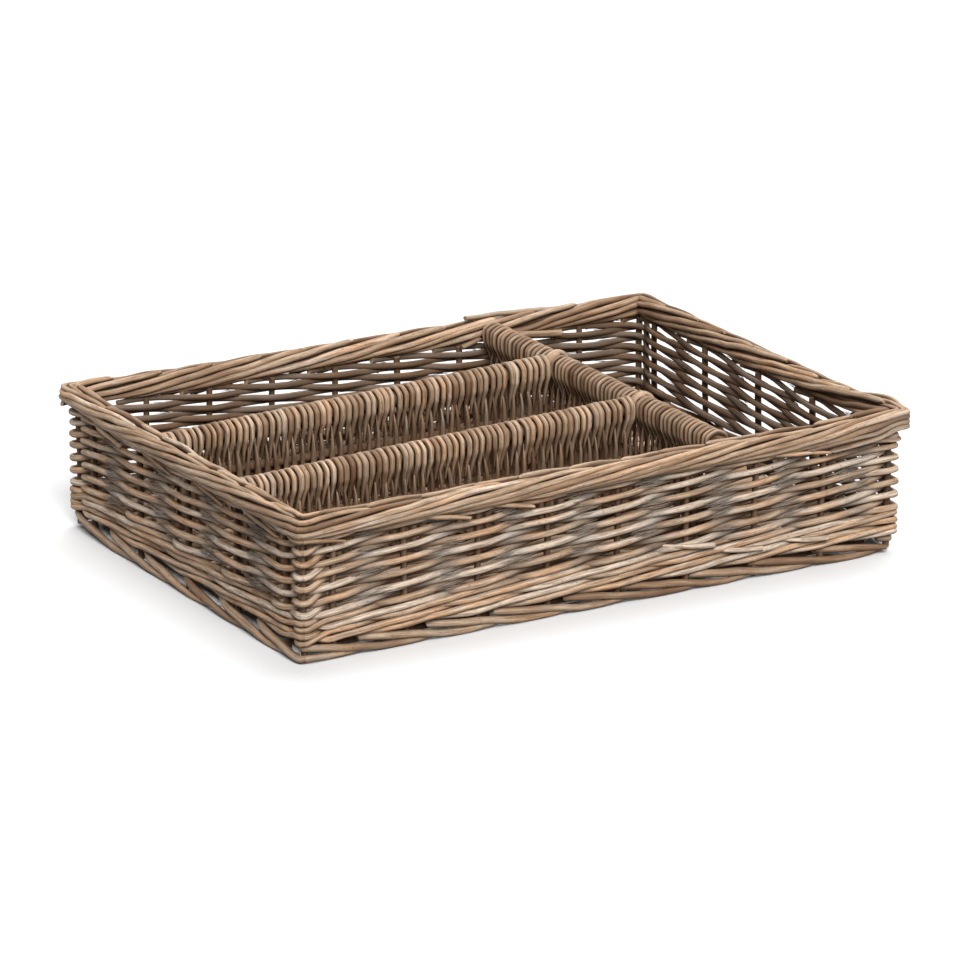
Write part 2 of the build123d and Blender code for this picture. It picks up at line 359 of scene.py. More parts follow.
class Rod:
    """A round rod along a path, before it is turned into a mesh."""

    def __init__(self, points, radii, tone, step=STEP, side=1, grey=0, painted_shade=SIDE_SHADE, rounded=False,
                 kinks=KINKS):
        self.centre = smooth_path(points, step)
        lengths = np.linalg.norm(np.diff(self.centre, axis=0), axis=1)
        self.along = np.concatenate([[0], np.cumsum(lengths)])
        share = self.along / self.along[-1]
        self.radius = np.interp(share, np.linspace(0, 1, len(radii)), radii)
        self.radius = self.radius * (1 + drift(self.along, SWELLING_EVERY, SWELLING))
        if rounded:
            to_end = np.minimum(self.along, self.along[-1] - self.along) / self.radius
            dome = 1 - (1 - np.minimum(to_end, 1)) ** 2
            self.radius = self.radius * np.sqrt(np.clip(dome, BLUNT_END, 1))
        kinked = np.stack([drift(self.along, KINK_EVERY, kinks) for _ in range(3)], axis=1)
        self.centre = self.centre + kinked
        self.tangent = unit(np.gradient(self.centre, axis=0))
        self.tone = tone
        # Painted shade: darkens the colour where other rods would shade this one
        self.painted_shade = at_each(painted_shade, self.centre)
        self.side = at_each(side, self.centre)
        self.grey = at_each(grey, self.centre)
        self.bark_offset = rng.uniform(0, 9000)
        self.oval = rng.uniform(0, 2 * math.pi)

    def piece(self, first, last):
        """The part of the rod between two places, which keeps its bark."""
        part = copy.copy(self)
        for name in ("centre", "tangent", "along", "radius", "side", "grey", "painted_shade"):
            setattr(part, name, getattr(self, name)[first:last + 1])
        return part

    def painted_light(self, facing):
        """How much light is painted on the surface, most where it faces out of the basket."""
        turned = np.clip(OUTSIDE_GAIN * self.side + OUTSIDE_BIAS, -1, 1)[:, None] * facing
        light = np.where(facing < 0, INSIDE_LIGHT + INSIDE_CHANGE * turned, 0.5 + 0.5 * turned)
        return np.clip(light - self.painted_shade[:, None], 0, 1)

    def weathering(self, facing):
        """How grey the rod's surface has become."""
        return self.grey[:, None] * np.clip(GREY_AT_SIDE + (1 - GREY_AT_SIDE) * facing, 0, 1)


# What a mesh tells its material about each place; open is the painted light, low under painted shade
MARKS = ("tone", "grey", "open", "cut")


class Bundle:
    """The rods that take the place of one node."""

    def __init__(self, node, slot, sides=8, ending="rods"):
        self.name = f"{node}_{ending}"
        self.nodes = [node]
        self.slot = slot
        self.sides = sides
        self.places = []
        self.faces = []
        self.marks = {mark: [] for mark in (*MARKS, "bark")}
        self.count = 0

    def add(self, rod, outward, upright=(0, 0, 1), slants=(SLANT, SLANT), sides=None):
        """Adds a rod, painted lighter and weathered on the outward side. Ends without slant stay open."""
        sides = sides or self.sides
        tangent = rod.tangent
        side = unit(np.cross(tangent, upright))
        up = np.cross(side, tangent)
        angle = np.linspace(0, 2 * math.pi, sides, endpoint=False)
        radius = rod.radius[:, None] * (1 + OVAL * np.sin(2 * angle + rod.oval))
        normal = np.cos(angle)[:, None] * side[:, None] + np.sin(angle)[:, None] * up[:, None]
        rings = rod.centre[:, None] + radius[:, :, None] * normal
        rings[0] -= (slants[0] * radius[0] * np.cos(angle + rod.oval))[:, None] * tangent[0]
        rings[-1] += (slants[1] * radius[-1] * np.cos(angle - rod.oval))[:, None] * tangent[-1]
        outward = np.broadcast_to(np.asarray(outward, float), tangent.shape)
        facing = (normal * outward[:, None]).sum(axis=2)
        # Painted light and shade for each place, handed to the material as the mark open
        painted_light = rod.painted_light(facing)
        bark = np.stack([
            radius * np.cos(angle),
            radius * np.sin(angle),
            np.broadcast_to((rod.along + rod.bark_offset)[:, None], radius.shape),
        ], axis=2)
        self.put(rings.reshape(-1, 3), bark.reshape(-1, 3), tone=rod.tone,
                 grey=rod.weathering(facing).ravel(), open=painted_light.ravel(), cut=0)
        first = np.arange(len(rings) - 1)[:, None] * sides
        here = first + np.arange(sides)
        beside = first + (np.arange(sides) + 1) % sides
        quads = np.stack([here, beside, beside + sides, here + sides], axis=2).reshape(-1, 4)
        self.faces += (quads + self.count).tolist()
        self.count += len(rings) * sides
        # A cut end shows less pale wood where painted shade lies on it
        for end, order in ((0, -1), (-1, 1)):
            if slants[end]:
                cut = 1 - CUT_SHADE * rod.painted_shade[end]
                self.cap(rings[end], bark[end], painted_light[end].max(), rod.tone, order, cut)

    def cap(self, ring, bark, painted_light, tone, order, cut):
        """Closes the end of a rod with its cut wood."""
        sides = len(ring)
        places = np.vstack([ring, ring.mean(axis=0)])
        marks = np.vstack([bark, bark.mean(axis=0)])
        self.put(places, marks, tone=tone, grey=0, open=painted_light, cut=cut)
        for number in range(sides):
            face = [number, (number + 1) % sides, sides][::order]
            self.faces.append([self.count + corner for corner in face])
        self.count += len(places)

    def put(self, places, bark, **marks):
        """Keeps places and their marks."""
        self.places.append(places)
        self.marks["bark"].append(bark)
        for name, value in marks.items():
            self.marks[name].append(np.broadcast_to(np.asarray(value, float), len(places)))

    def build(self):
        """Makes the mesh object and ties it to the frame."""
        mesh = bpy.data.meshes.new(self.name)
        mesh.from_pydata((np.vstack(self.places) * MM).tolist(), [], self.faces)
        for mark in MARKS:
            layer = mesh.attributes.new(mark, "FLOAT", "POINT")
            layer.data.foreach_set("value", np.concatenate(self.marks[mark]).astype(np.float32))
        layer = mesh.attributes.new("bark", "FLOAT_VECTOR", "POINT")
        layer.data.foreach_set("vector", np.vstack(self.marks["bark"]).astype(np.float32).ravel())
        mesh.polygons.foreach_set("use_smooth", [len(face) == 4 for face in self.faces])
        mesh.materials.append(MATERIALS[self.slot])
        piece = bpy.data.objects.new(self.name, mesh)
        bpy.context.scene.collection.objects.link(piece)
        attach(piece, "root")
        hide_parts(*self.nodes)


# Willow

def linear(colour):
    """A colour as a camera records it, turned into the light that it stands for."""
    values = [channel / 255 for channel in colour]
    light = [v / 12.92 if v <= 0.04045 else ((v + 0.055) / 1.055) ** 2.4 for v in values]
    return (*light, 1)


TONES = {
    0.0: (112, 84, 62),
    0.18: (158, 126, 98),
    0.4: (196, 166, 136),
    0.62: (216, 190, 163),
    0.8: (220, 176, 136),
    1.0: (236, 216, 194),
}
BROWN_STREAK = (116, 86, 60)
GREY_BARK = (122, 115, 106)
PALE_FIBRE = (212, 207, 199)
PAINTED_SHADE = (48, 29, 16)
# The brown of painted shade, where other rods would shade the bark
CUT_WOOD = (172, 152, 124)
PITH = (98, 80, 60)
SPECK = (50, 32, 20)

# Patterns of the bark: waves per millimetre across and along the rod, and levels of detail
BLOTCH = (0.2, 0.03, 2)
PATCH = (0.12, 0.055, 2)
STREAK = (1.1, 0.05, 3)
FIBRE = (3.2, 0.16, 4)
BAND = (0.06, 0.22, 1)
GRAIN = (0.9, 0.45, 3)
BLOTCH_SHIFT = 0.2
PALE_SHIFT = 0.25
SPECULAR = 0.3
BUMP_STRENGTH = 0.6
BUMP_DEPTH = 0.4


class Nodes:
    """Short calls for the nodes of one material."""

    def __init__(self, tree):
        self.tree = tree

    def add(self, kind, **settings):
        """A new node with its settings."""
        node = self.tree.nodes.new(kind)
        for name, value in settings.items():
            setattr(node, name, value)
        return node

    def link(self, output, target):
        self.tree.links.new(output, target)

    def mark(self, name):
        """A mark of the mesh."""
        return self.add("ShaderNodeAttribute", attribute_name=name)

    def noise(self, bark, across, along, detail):
        """Noise on the bark."""
        mapping = self.add("ShaderNodeMapping")
        mapping.inputs["Scale"].default_value = (across, across, along)
        noise = self.add("ShaderNodeTexNoise")
        noise.inputs["Scale"].default_value = 1
        noise.inputs["Detail"].default_value = detail
        self.link(bark, mapping.inputs["Vector"])
        self.link(mapping.outputs["Vector"], noise.inputs["Vector"])
        return noise.outputs["Fac"]

    def remap(self, value, start, end):
        """A value that starts at one pair (given, wanted) and ends at another."""
        node = self.add("ShaderNodeMapRange")
        node.inputs["From Min"].default_value, node.inputs["To Min"].default_value = start
        node.inputs["From Max"].default_value, node.inputs["To Max"].default_value = end
        self.link(value, node.inputs["Value"])
        return node.outputs["Result"]

    def math(self, operation, first, second):
        """A sum or product, kept between 0 and 1."""
        node = self.add("ShaderNodeMath", operation=operation, use_clamp=True)
        self.link(first, node.inputs[0])
        self.link(second, node.inputs[1])
        return node.outputs["Value"]

    def seen_directly(self, as_light, as_seen):
        """One value for rays that light the object, another for rays that show the surface itself."""
        path = self.add("ShaderNodeLightPath")
        seen = self.math("ADD", path.outputs["Is Camera Ray"], path.outputs["Is Glossy Ray"])
        seen = self.math("ADD", seen, path.outputs["Is Transmission Ray"])
        return self.remap(seen, (0, as_light), (1, as_seen))

    def ramp(self, value, stops):
        """A colour that changes with a value."""
        node = self.add("ShaderNodeValToRGB")
        elements = node.color_ramp.elements
        while len(elements) < len(stops):
            elements.new(0.5)
        for element, (place, colour) in zip(elements, sorted(stops.items())):
            element.position = place
            element.color = linear(colour)
        self.link(value, node.inputs["Fac"])
        return node.outputs["Color"]

    def blend(self, share, first, second):
        """Mixes two colours, each a socket or a colour."""
        node = self.add("ShaderNodeMix", data_type="RGBA", blend_type="MIX")
        self.link(share, node.inputs["Factor"])
        for name, value in (("A", first), ("B", second)):
            socket = [s for s in node.inputs if s.name == name and s.type == "RGBA"][0]
            if isinstance(value, tuple):
                socket.default_value = linear(value)
            else:
                self.link(value, socket)
        return [s for s in node.outputs if s.type == "RGBA"][0]


def willow(name, shift, grey, dark, rough):
    """Willow bark: a tone for each rod, grey where weathered, dark with painted shade, pale where cut."""
    material = bpy.data.materials.new(name)
    material.use_nodes = True
    nodes = Nodes(material.node_tree)
    remap = nodes.remap
    shader = material.node_tree.nodes["Principled BSDF"]
    bark = nodes.mark("bark").outputs["Vector"]
    tone, greyness, painted_light, cut = [nodes.mark(mark).outputs["Fac"] for mark in MARKS]
    patterns = [nodes.noise(bark, *pattern) for pattern in (BLOTCH, PATCH, STREAK, FIBRE, BAND, GRAIN)]
    blotch, patch, streak, fibre, band, grain = patterns

    blotched = remap(blotch, (0.3, shift - BLOTCH_SHIFT), (0.7, shift + BLOTCH_SHIFT))
    colour = nodes.ramp(nodes.math("ADD", tone, blotched), TONES)
    weathered = nodes.math("ADD", greyness, remap(patch, (0.5, 0), (0.75, 0.5)))
    weathered = nodes.math("MULTIPLY", weathered, remap(blotch, (0.3, 0.6 * grey), (0.6, grey)))
    paleness = nodes.math("ADD", streak, remap(tone, (0, -PALE_SHIFT), (1, PALE_SHIFT)))
    grey_bark = nodes.blend(remap(paleness, (0.4, 0), (0.65, 1)), GREY_BARK, PALE_FIBRE)
    wood = nodes.blend(remap(fibre, (0.35, 0), (0.65, 0.6)), CUT_WOOD, PITH)
    layers = (
        (remap(streak, (0.47, 0), (0.64, 0.7)), BROWN_STREAK),
        (weathered, grey_bark),
        # Painted shade: dark brown where the mesh marks little painted light
        (remap(painted_light, (0.8, 0), (0.15, dark)), PAINTED_SHADE),
        (remap(band, (0.68, 0), (0.74, 0.5)), BROWN_STREAK),
        (remap(grain, (0.62, 0), (0.72, 0.6)), SPECK),
        (remap(fibre, (0.3, 0.6), (0.65, 0)), BROWN_STREAK),
        (cut, wood),
    )
    for share, layer in layers:
        colour = nodes.blend(share, colour, layer)
    nodes.link(colour, shader.inputs["Base Color"])
    shader.inputs["Specular IOR Level"].default_value = SPECULAR

    roughness = remap(fibre, (0.25, rough + 0.14), (0.75, rough - 0.1))
    nodes.link(roughness, shader.inputs["Roughness"])
    relief = nodes.math("ADD", remap(fibre, (0, 0), (1, 0.5)), remap(grain, (0, 0), (1, 0.5)))
    bump = nodes.add("ShaderNodeBump")
    bump.inputs["Strength"].default_value = BUMP_STRENGTH
    bump.inputs["Distance"].default_value = BUMP_DEPTH * MM
    nodes.link(relief, bump.inputs["Height"])
    nodes.link(bump.outputs["Normal"], shader.inputs["Normal"])
    return material


# Looks of the slots: shift of the tone (partly painted light), most grey, most painted shade, and roughness
LOOKS = {
    "wall_willow": (0.36, 1.0, 0.82, 0.6),
    "border_willow": (-0.07, 0.7, 0.85, 0.55),
    "divider_willow": (-0.08, 0.5, 0.8, 0.55),
    "rail_willow": (-0.1, 0.5, 0.6, 0.55),
    "stake_willow": (0.0, 0.6, 0.85, 0.65),
    "base_willow": (-0.1, 0.7, 0.6, 0.65),
}
MATERIALS = {slot: willow(slot, *look) for slot, look in LOOKS.items()}


# Walls

def wall_bundles(kind, slot, sides):
    """A bundle of one kind of rod for each wall."""
    return [Bundle(f"{wall.name}_{kind}", slot, sides) for wall in WALLS]


STAKES = wall_bundles("stakes", "stake_willow", 8)
FOOT = wall_bundles("foot_border", "border_willow", 10)
WALE = wall_bundles("wale", "wall_willow", 10)
WEAVERS = wall_bundles("weavers", "wall_willow", 10)
BORDER = wall_bundles("top_border", "border_willow", 12)
CORNER_POSTS = Bundle("corner_posts", "stake_willow")


def past_stakes(centre):
    """How far each place is past the lines of the stakes, along X and along Y."""
    return np.abs(centre[:, 0]) - STAKE_X, np.abs(centre[:, 1]) - STAKE_Y


def owner(centre):
    """The number of the wall that each place belongs to, parted by the diagonal at each corner."""
    past_x, past_y = past_stakes(centre)
    long_wall = np.where(centre[:, 1] < 0, FRONT, BACK)
    short_wall = np.where(centre[:, 0] > 0, RIGHT, LEFT)
    return np.where(past_y > past_x, long_wall, short_wall)


def out_of_wall(centre):
    """How far outward from the line of the stakes each place is."""
    return np.maximum(*past_stakes(centre))


def side_of_wall(centre):
    """One where a rod is outside the stakes, and minus one where it is inside."""
    return np.clip(out_of_wall(centre) / WEAVER_OFFSET, -1, 1)


def out_and_up(centre, wall):
    """The direction in which a rod of a wall is weathered most and painted lightest."""
    return unit(np.array((*wall.outward, 0.35)))


def out_of_rope(centre, wall):
    """The direction from the middle of the rope to each place on a rod."""
    out = out_of_wall(centre) - ROPE_OUT
    return unit(np.column_stack([out[:, None] * wall.outward, centre[:, 2] - ROPE_HEIGHT]))


def lay(bundles, rod, slant=SLANT, sides=None, outward=out_and_up):
    """Parts a rod at the corners and adds each part to the bundle of its wall."""
    walls = owner(rod.centre)
    breaks = np.flatnonzero(np.diff(walls)) + 1
    firsts = [0, *breaks]
    lasts = [*breaks, len(walls) - 1]
    for first, last in zip(firsts, lasts):
        if last - first < 1:
            continue
        wall = WALLS[walls[first]]
        part = rod.piece(first, last)
        slants = (slant if first == 0 else 0, slant if last == len(walls) - 1 else 0)
        bundles[walls[first]].add(part, outward(part.centre, wall), slants=slants, sides=sides)


def between_stakes(centre):
    """High midway between two stakes, where the rods cross and fray, and zero beside the stakes."""
    walls = owner(centre)
    nearness = np.zeros(len(centre))
    for number, wall in enumerate(WALLS):
        posts = np.array([*wall.posts, wall.start + wall.span]) - wall.start
        middles = (posts[1:] + posts[:-1]) / 2
        middles = middles[np.diff(posts) > 2 * CORNER_GAP]
        along = (centre[:, :2] - wall.corner) @ wall.along
        distance = np.abs(along[:, None] - middles).min(axis=1)
        nearness = np.where(walls == number, np.exp(-((distance / CROSSING_HALF) ** 2)), nearness)
    return nearness * rng.uniform(0.3, 0.9)


def rod_tone():
    """A tone for a rod of the walls, border or base."""
    return float(np.clip(rng.normal(0.5, 0.24), 0.02, PALEST))


def strand_tone():
    """A tone for a rod of the dividers."""
    return float(np.clip(rng.normal(0.57, 0.21), 0.12, PALEST))


def stakes():
    """Uprights, some with a thin end that shows below the border."""
    for at in POSTS:
        wall, along = wall_at(at)
        base = wall.corner + along * wall.along
        lean = rng.normal(0, STAKE_LEAN)
        points = [
            (*base, STAKE_LOW),
            (*(base + lean * 0.5 * wall.along), (STAKE_LOW + STAKE_HIGH) / 2),
            (*(base + lean * wall.along), STAKE_HIGH),
        ]
        rod = Rod(points, (STAKE_SEEN_R,), STAKE_TONE_SHARE * rod_tone(), painted_shade=DEEP_SHADE)
        at_corner = along < AT_CORNER
        bundle = CORNER_POSTS if at_corner else STAKES[WALLS.index(wall)]
        bundle.add(rod, (*wall.outward, 0), upright=ACROSS_STAKES)
        if not at_corner and rng.random() < TIP_CHANCE:
            stake_tip(at)


def stake_tip(at):
    """The thin end of a stake, laid to the right below the border and cut outside."""
    start = at + rng.normal(0, 3)
    length = rng.uniform(26, 54)
    stations = [
        (start + 4, 1.5, STAKE_HIGH + 1),
        (start + 0.4 * length, 5.6, STAKE_HIGH + 0.2),
        (start + 0.8 * length, 6.0, STAKE_HIGH - 2.2),
        (start + length, 5.9, STAKE_HIGH - 3.6),
    ]
    rod = Rod(route(stations), (*TIP_RADII, rng.uniform(0.6, 1.4)), rod_tone(), step=3)
    lay(STAKES, rod, slant=STEEP_SLANT)


def short_of(stations, end):
    """The stations before a distance round the basket, and the one that the rod has reached there."""
    kept = [station for station in stations if station[0] < end - SHORTEST_RUN]
    ats, outs, heights = zip(*stations)
    if len(kept) < len(stations):
        kept.append((end, float(np.interp(end, ats, outs)), float(np.interp(end, ats, heights))))
    return kept


def foot():
    """Rods come out under the wale and fall to the floor, each over the end of the one before."""
    for wall in WALLS:
        spaces = len(wall.posts)
        pitch = wall.span / spaces
        for number in range(spaces):
            start = wall.start + number * pitch + FOOT_START + rng.normal(0, FOOT_START_SPREAD)
            stations = [
                (start - 8, -1.0, FOOT_HIGH - 1.5),
                (start + 0.15 * pitch, 3.6, FOOT_HIGH - 2.0),
                (start + 0.55 * pitch, 4.7, 5.4 + rng.normal(0, 0.3)),
                (start + 1.05 * pitch, 4.9, FOOT_R + 0.7),
                (start + 1.5 * pitch, 4.5, FOOT_R + 0.1),
                (start + 1.95 * pitch, 3.2, FOOT_R + 1.0),
            ]
            if spaces == LONG_SPACES:
                stations = short_of(stations, wall.start + wall.span - FOOT_END_GAP)
            radii = (FOOT_R, FOOT_R * 1.1, FOOT_R, FOOT_R * 0.7)
            rod = Rod(route(stations), radii, rod_tone(), painted_shade=FOOT_SHADE)
            lay(FOOT, rod, slant=STEEP_SLANT)


def wale():
    """Three rods in turn pass outside two stakes and inside the third, and rise as they go."""
    for level in range(WALE_ROUNDS):
        low = WALE_LOW + (2 * level + 0.5) * WALE_PITCH
        for strand in range(WALE_RODS):
            for first, last in WALE_LENGTHS:
                stations = []
                for number in range(first + strand, last + strand + 1):
                    step = (number - strand) % WALE_RODS
                    at = post_at(number)
                    out = -WEAVER_OFFSET if step == 0 else WEAVER_OFFSET + rng.normal(0, OUT_SPREAD)
                    height = low + WALE_PITCH * WALE_RISES[step] + rng.normal(0, HEIGHT_SPREAD)
                    if wall_at(at)[1] < AT_CORNER:
                        stations.append((at, out if step == 0 else max(out, CORNER_OFFSET), height))
                    else:
                        turn = WALE_PITCH * WALE_TURNS[step]
                        stations.append((at - WALE_FLAT, out, height - turn))
                        stations.append((at + WALE_FLAT, out, height + turn))
                radii = (WALE_R * 1.05, WALE_R * 0.95)
                lay(WALE, Rod(route(stations), radii, rod_tone(), side=side_of_wall))


def shifted(path, at, height):
    """The stations of a path that is given from a place and a height."""
    return [(at + ahead, out, height + rise) for ahead, out, rise in path]


def cut_ends():
    """Ends of wale and weaving rods that come out between the rows and are cut off outside."""
    for wall_number, along, height in CUT_ENDS:
        stations = shifted(CUT_END_PATH, WALLS[wall_number].start + along, height)
        rod = Rod(route(stations), CUT_END_RADII, rng.uniform(0.5, 1.0), step=3)
        lay(WALE, rod, slant=STEEP_SLANT)


def row_height(row):
    """The rows of weavers lie closer towards the top, where the rods get thin."""
    share = (row + 0.5) / ROWS
    return WEAVE_LOW + (WEAVE_HIGH - WEAVE_LOW) * (share + ROW_CROWDING * share * (1 - share))


def weavers():
    """One rod starts at each stake and climbs a row at every stake it passes, out and in by turns."""
    for first in range(len(POSTS)):
        stations = shifted(WEAVER_BUTT, post_at(first), row_height(0))
        for row in range(ROWS):
            at = post_at(first + row)
            outside = row % 2 == 0
            out = WEAVER_OFFSET if outside else -WEAVER_OFFSET
            out += rng.normal(0, OUT_SPREAD)
            height = row_height(row) + rng.normal(0, HEIGHT_SPREAD)
            if wall_at(at)[1] < AT_CORNER:
                stations.append((at, max(out, CORNER_OFFSET) if outside else out, height))
                continue
            before = FLAT_SHARE * (at - post_at(first + row - 1))
            after = FLAT_SHARE * (post_at(first + row + 1) - at)
            climb = row_height(row + 1) - row_height(row)
            stations.append((at - before, out, height - FLAT_SHARE * climb))
            stations.append((at + after, out, height + FLAT_SHARE * climb))
        stations += shifted(WEAVER_TIP, stations[-1][0], stations[-1][2])
        radii = (WEAVER_R * 1.06, WEAVER_R * 0.9)
        lay(WEAVERS, Rod(route(stations), radii, rod_tone(), side=side_of_wall, grey=between_stakes))


def frays():
    """Slivers of grey bark that stand off where the weavers cross between two stakes."""
    for number in range(len(POSTS)):
        space = post_at(number + 1) - post_at(number)
        if space < 2 * CORNER_GAP:
            continue
        for _ in range(FRAYED_PATCHES):
            patch_at = post_at(number) + space / 2 + rng.normal(0, 5)
            patch_height = rng.uniform(WEAVE_LOW + 3, WEAVE_HIGH + 1)
            patch_slope = rng.normal(0.13, 0.06)
            for _ in range(FRAYS_PER_PATCH):
                middle = patch_at + rng.normal(0, 3)
                height = patch_height + rng.normal(0, 1.3)
                fray(middle, height, patch_slope + rng.normal(0, 0.06))


def fray(middle, height, slope):
    """One sliver of bark, close to the rods."""
    half = rng.uniform(3, 8)
    out = rng.uniform(2.4, 3.8)
    stations = [
        (middle - half, out - rng.uniform(0, 0.8), height - slope * half),
        (middle, out + 0.25, height),
        (middle + half, out + rng.uniform(-0.8, 0.3), height + slope * half),
    ]
    radius = rng.uniform(0.1, 0.24)
    radii = (radius, radius, radius * 0.5)
    rod = Rod(route(stations), radii, rng.choice(FRAY_TONES), grey=1, kinks=FRAY_KINKS)
    lay(WEAVERS, rod, sides=3)


# Top border

def corner_lift(at):
    """How much the rope rises at two corners."""
    half = ROUND_TRIP / 2
    apart = [abs((at - corner + half) % ROUND_TRIP - half) for corner in LIFTED_CORNERS]
    return CORNER_LIFT * math.exp(-((min(apart) / LIFT_WIDTH) ** 2))


def border_rod(start, pitch):
    """One rod of the rope. Its thin end sinks in below the rods that start there."""
    spaces = INNER_SPACES + OUTER_SPACES
    reach = (BORDER_HIGH - BORDER_LOW) / 2 - BORDER_R
    first_angle = rng.uniform(-0.25, 0.3)
    stations = []
    for stop in range(BORDER_STOPS + 1):
        space = spaces * stop / BORDER_STOPS
        if space < INNER_SPACES:
            angle = math.pi * (1 + space / INNER_SPACES)
            angle += first_angle * (1 - space / INNER_SPACES)
        else:
            angle = math.pi * (2 + (space - INNER_SPACES) / OUTER_SPACES)
        sunk = max(0, space - spaces + SINK_SPACES) * SINK_DEPTH
        spread = BORDER_OUTER if math.sin(angle) > 0 else BORDER_INNER
        out = ROPE_OUT + (spread - sunk) * math.sin(angle) + rng.normal(0, BORDER_SPREAD)
        height = ROPE_HEIGHT - (reach - sunk) * math.cos(angle) + rng.normal(0, BORDER_SPREAD)
        height += corner_lift(start + space * pitch)
        stations.append((start + space * pitch, out, height))
    radius = BORDER_R * rng.uniform(0.9, 1.08)
    radii = (radius, radius, radius * 0.96, radius * 0.75)
    return Rod(route(stations), radii, rod_tone(), step=4, rounded=True)


def border():
    """Rods start on top with a cut end, go down inside, under, and up the outside, like a rope."""
    for wall in WALLS:
        starts = BORDER_STARTS[wall.name]
        pitch = wall.span / starts
        for number in range(starts):
            start = wall.start + (number + BORDER_FIRST) * pitch + rng.normal(0, BORDER_START_SPREAD)
            lay(BORDER, border_rod(start, pitch), slant=BORDER_SLANT, outward=out_of_rope)
    core = []
    for stop in range(CORE_STOPS + 1):
        at = ROUND_TRIP * stop / CORE_STOPS + CORE_START
        core.append((at, ROPE_OUT + rng.normal(0, OUT_SPREAD), ROPE_HEIGHT))
    lay(BORDER, Rod(route(core), (CORE_R,), CORE_TONE, step=8, painted_shade=DEEP_SHADE))


def corner_loop():
    """Border rods that stand out as a loop where they turn the front right corner."""
    corner = LONG_SPAN
    reach = ROPE_OUT + BORDER_OUTER
    for level in range(LOOP_RODS):
        front_height = BORDER_HIGH - 3.5 - ROD_DROP * level
        right_height = BORDER_HIGH + 0.6 - 2.6 * level
        stations = [
            (corner - rng.uniform(38, 60), reach - 2.5, front_height - 4),
            (corner - 14, reach + 0.4, front_height),
            (corner + 12, reach + 0.2, right_height),
            (corner + rng.uniform(34, 48), reach - 5, right_height - 5),
        ]
        rod = Rod(route(stations), (BORDER_R * 0.8, BORDER_R), rod_tone(), step=3, grey=LOOSE_GREY,
                  rounded=True)
        lay(BORDER, rod, outward=out_of_rope)


def corner_fan():
    """Border rods of the back wall whose cut ends stand out past the left corner."""
    for level in range(FAN_RODS):
        y = STAKE_Y + ROPE_OUT + 4 - 1.2 * level
        height = BORDER_HIGH - 3.4 - ROD_DROP * level
        points = [
            (-STAKE_X + 45, y - 1, height - 2),
            (-STAKE_X + 12, y + 0.8, height + 0.4),
            (-STAKE_X - BORDER_OUT + rng.uniform(1, 2.5), y - 2, height),
        ]
        rod = Rod(points, (BORDER_R * 0.85, BORDER_R), rod_tone(), step=3)
        BORDER[BACK].add(rod, (0, 0.8, 0.6), slants=(BORDER_SLANT, FAN_SLANT))


def rail_end(rail_x):
    """Rods at the back end of the cross rail: one stands off the rope, two lie below it."""
    back = STAKE_Y + ROPE_OUT
    inside = back - BORDER_INNER - BORDER_R
    above = np.array(RAISED_PATH) + (rail_x, back, BORDER_HIGH)
    rod = Rod(above, (1.55, 1.75), 0.55, step=3, grey=LOOSE_GREY)
    BORDER[BACK].add(rod, (0, -0.3, 0.95), slants=(FAN_SLANT, BORDER_SLANT))
    for path, radii, tone in ((PEG_PATH, (2.1, 2.4), 0.5), (STUB_PATH, (1.5, 1.6), 0.4)):
        below = np.array(path) + (rail_x, inside, BORDER_LOW)
        BORDER[BACK].add(Rod(below, radii, tone, step=3, painted_shade=PEG_SHADE), (0, -0.8, 0.6))


# Base

def base():
    """Rods from end to end of the tray, over and under the sticks across it."""
    sticks = Bundle("base_sticks", "stake_willow")
    rods = Bundle("base_weavers", "base_willow")
    low, high = box_mm("base_weavers")
    stick_low, stick_high = box_mm("base_sticks")
    stick_x = stick_high[0] - BASE_STICK_R
    level = (low[2] + high[2]) / 2
    rise = (high[2] - low[2]) / 2 - BASE_R
    for x in (-stick_x, 0, stick_x):
        points = [(x, y, level) for y in (stick_low[1], 0, stick_high[1])]
        sticks.add(Rod(points, (BASE_STICK_R,), rod_tone(), step=8), (0, 0, 1))
    for number in range(BASE_RODS):
        y = low[1] + BASE_R + (high[1] - low[1] - 2 * BASE_R) * number / (BASE_RODS - 1)
        turn = 1 if number % 2 else -1
        points = [(low[0], y, level + turn * rise * 0.5)]
        for x, sign in ((-stick_x, turn), (0, -turn), (stick_x, turn)):
            for end in (x - BASE_FLAT, x + BASE_FLAT):
                points.append((end, y + rng.normal(0, BASE_SPREAD), level + sign * rise))
        points.append((high[0], y, level + turn * rise * 0.5))
        radius = BASE_R * rng.uniform(0.95, 1.03)
        rods.add(Rod(points, (radius, radius * 0.95), rod_tone(), step=6), (0, 0, 1))
    edge_x = high[0] - BASE_R
    edge_y = high[1] - BASE_R
    for height in (low[2] + BASE_R, low[2] + 3 * BASE_R):
        for side in (-1, 1):
            along_x = [(x, side * edge_y, height) for x in (-edge_x, 0, edge_x)]
            along_y = [(side * edge_x, y, height) for y in (-edge_y, 0, edge_y)]
            for points in (along_x, along_y):
                rods.add(Rod(points, (BASE_R,), EDGE_TONE, step=8, painted_shade=EDGE_SHADE), (0, 0, 1))
    sticks.build()
    rods.build()


# Dividers

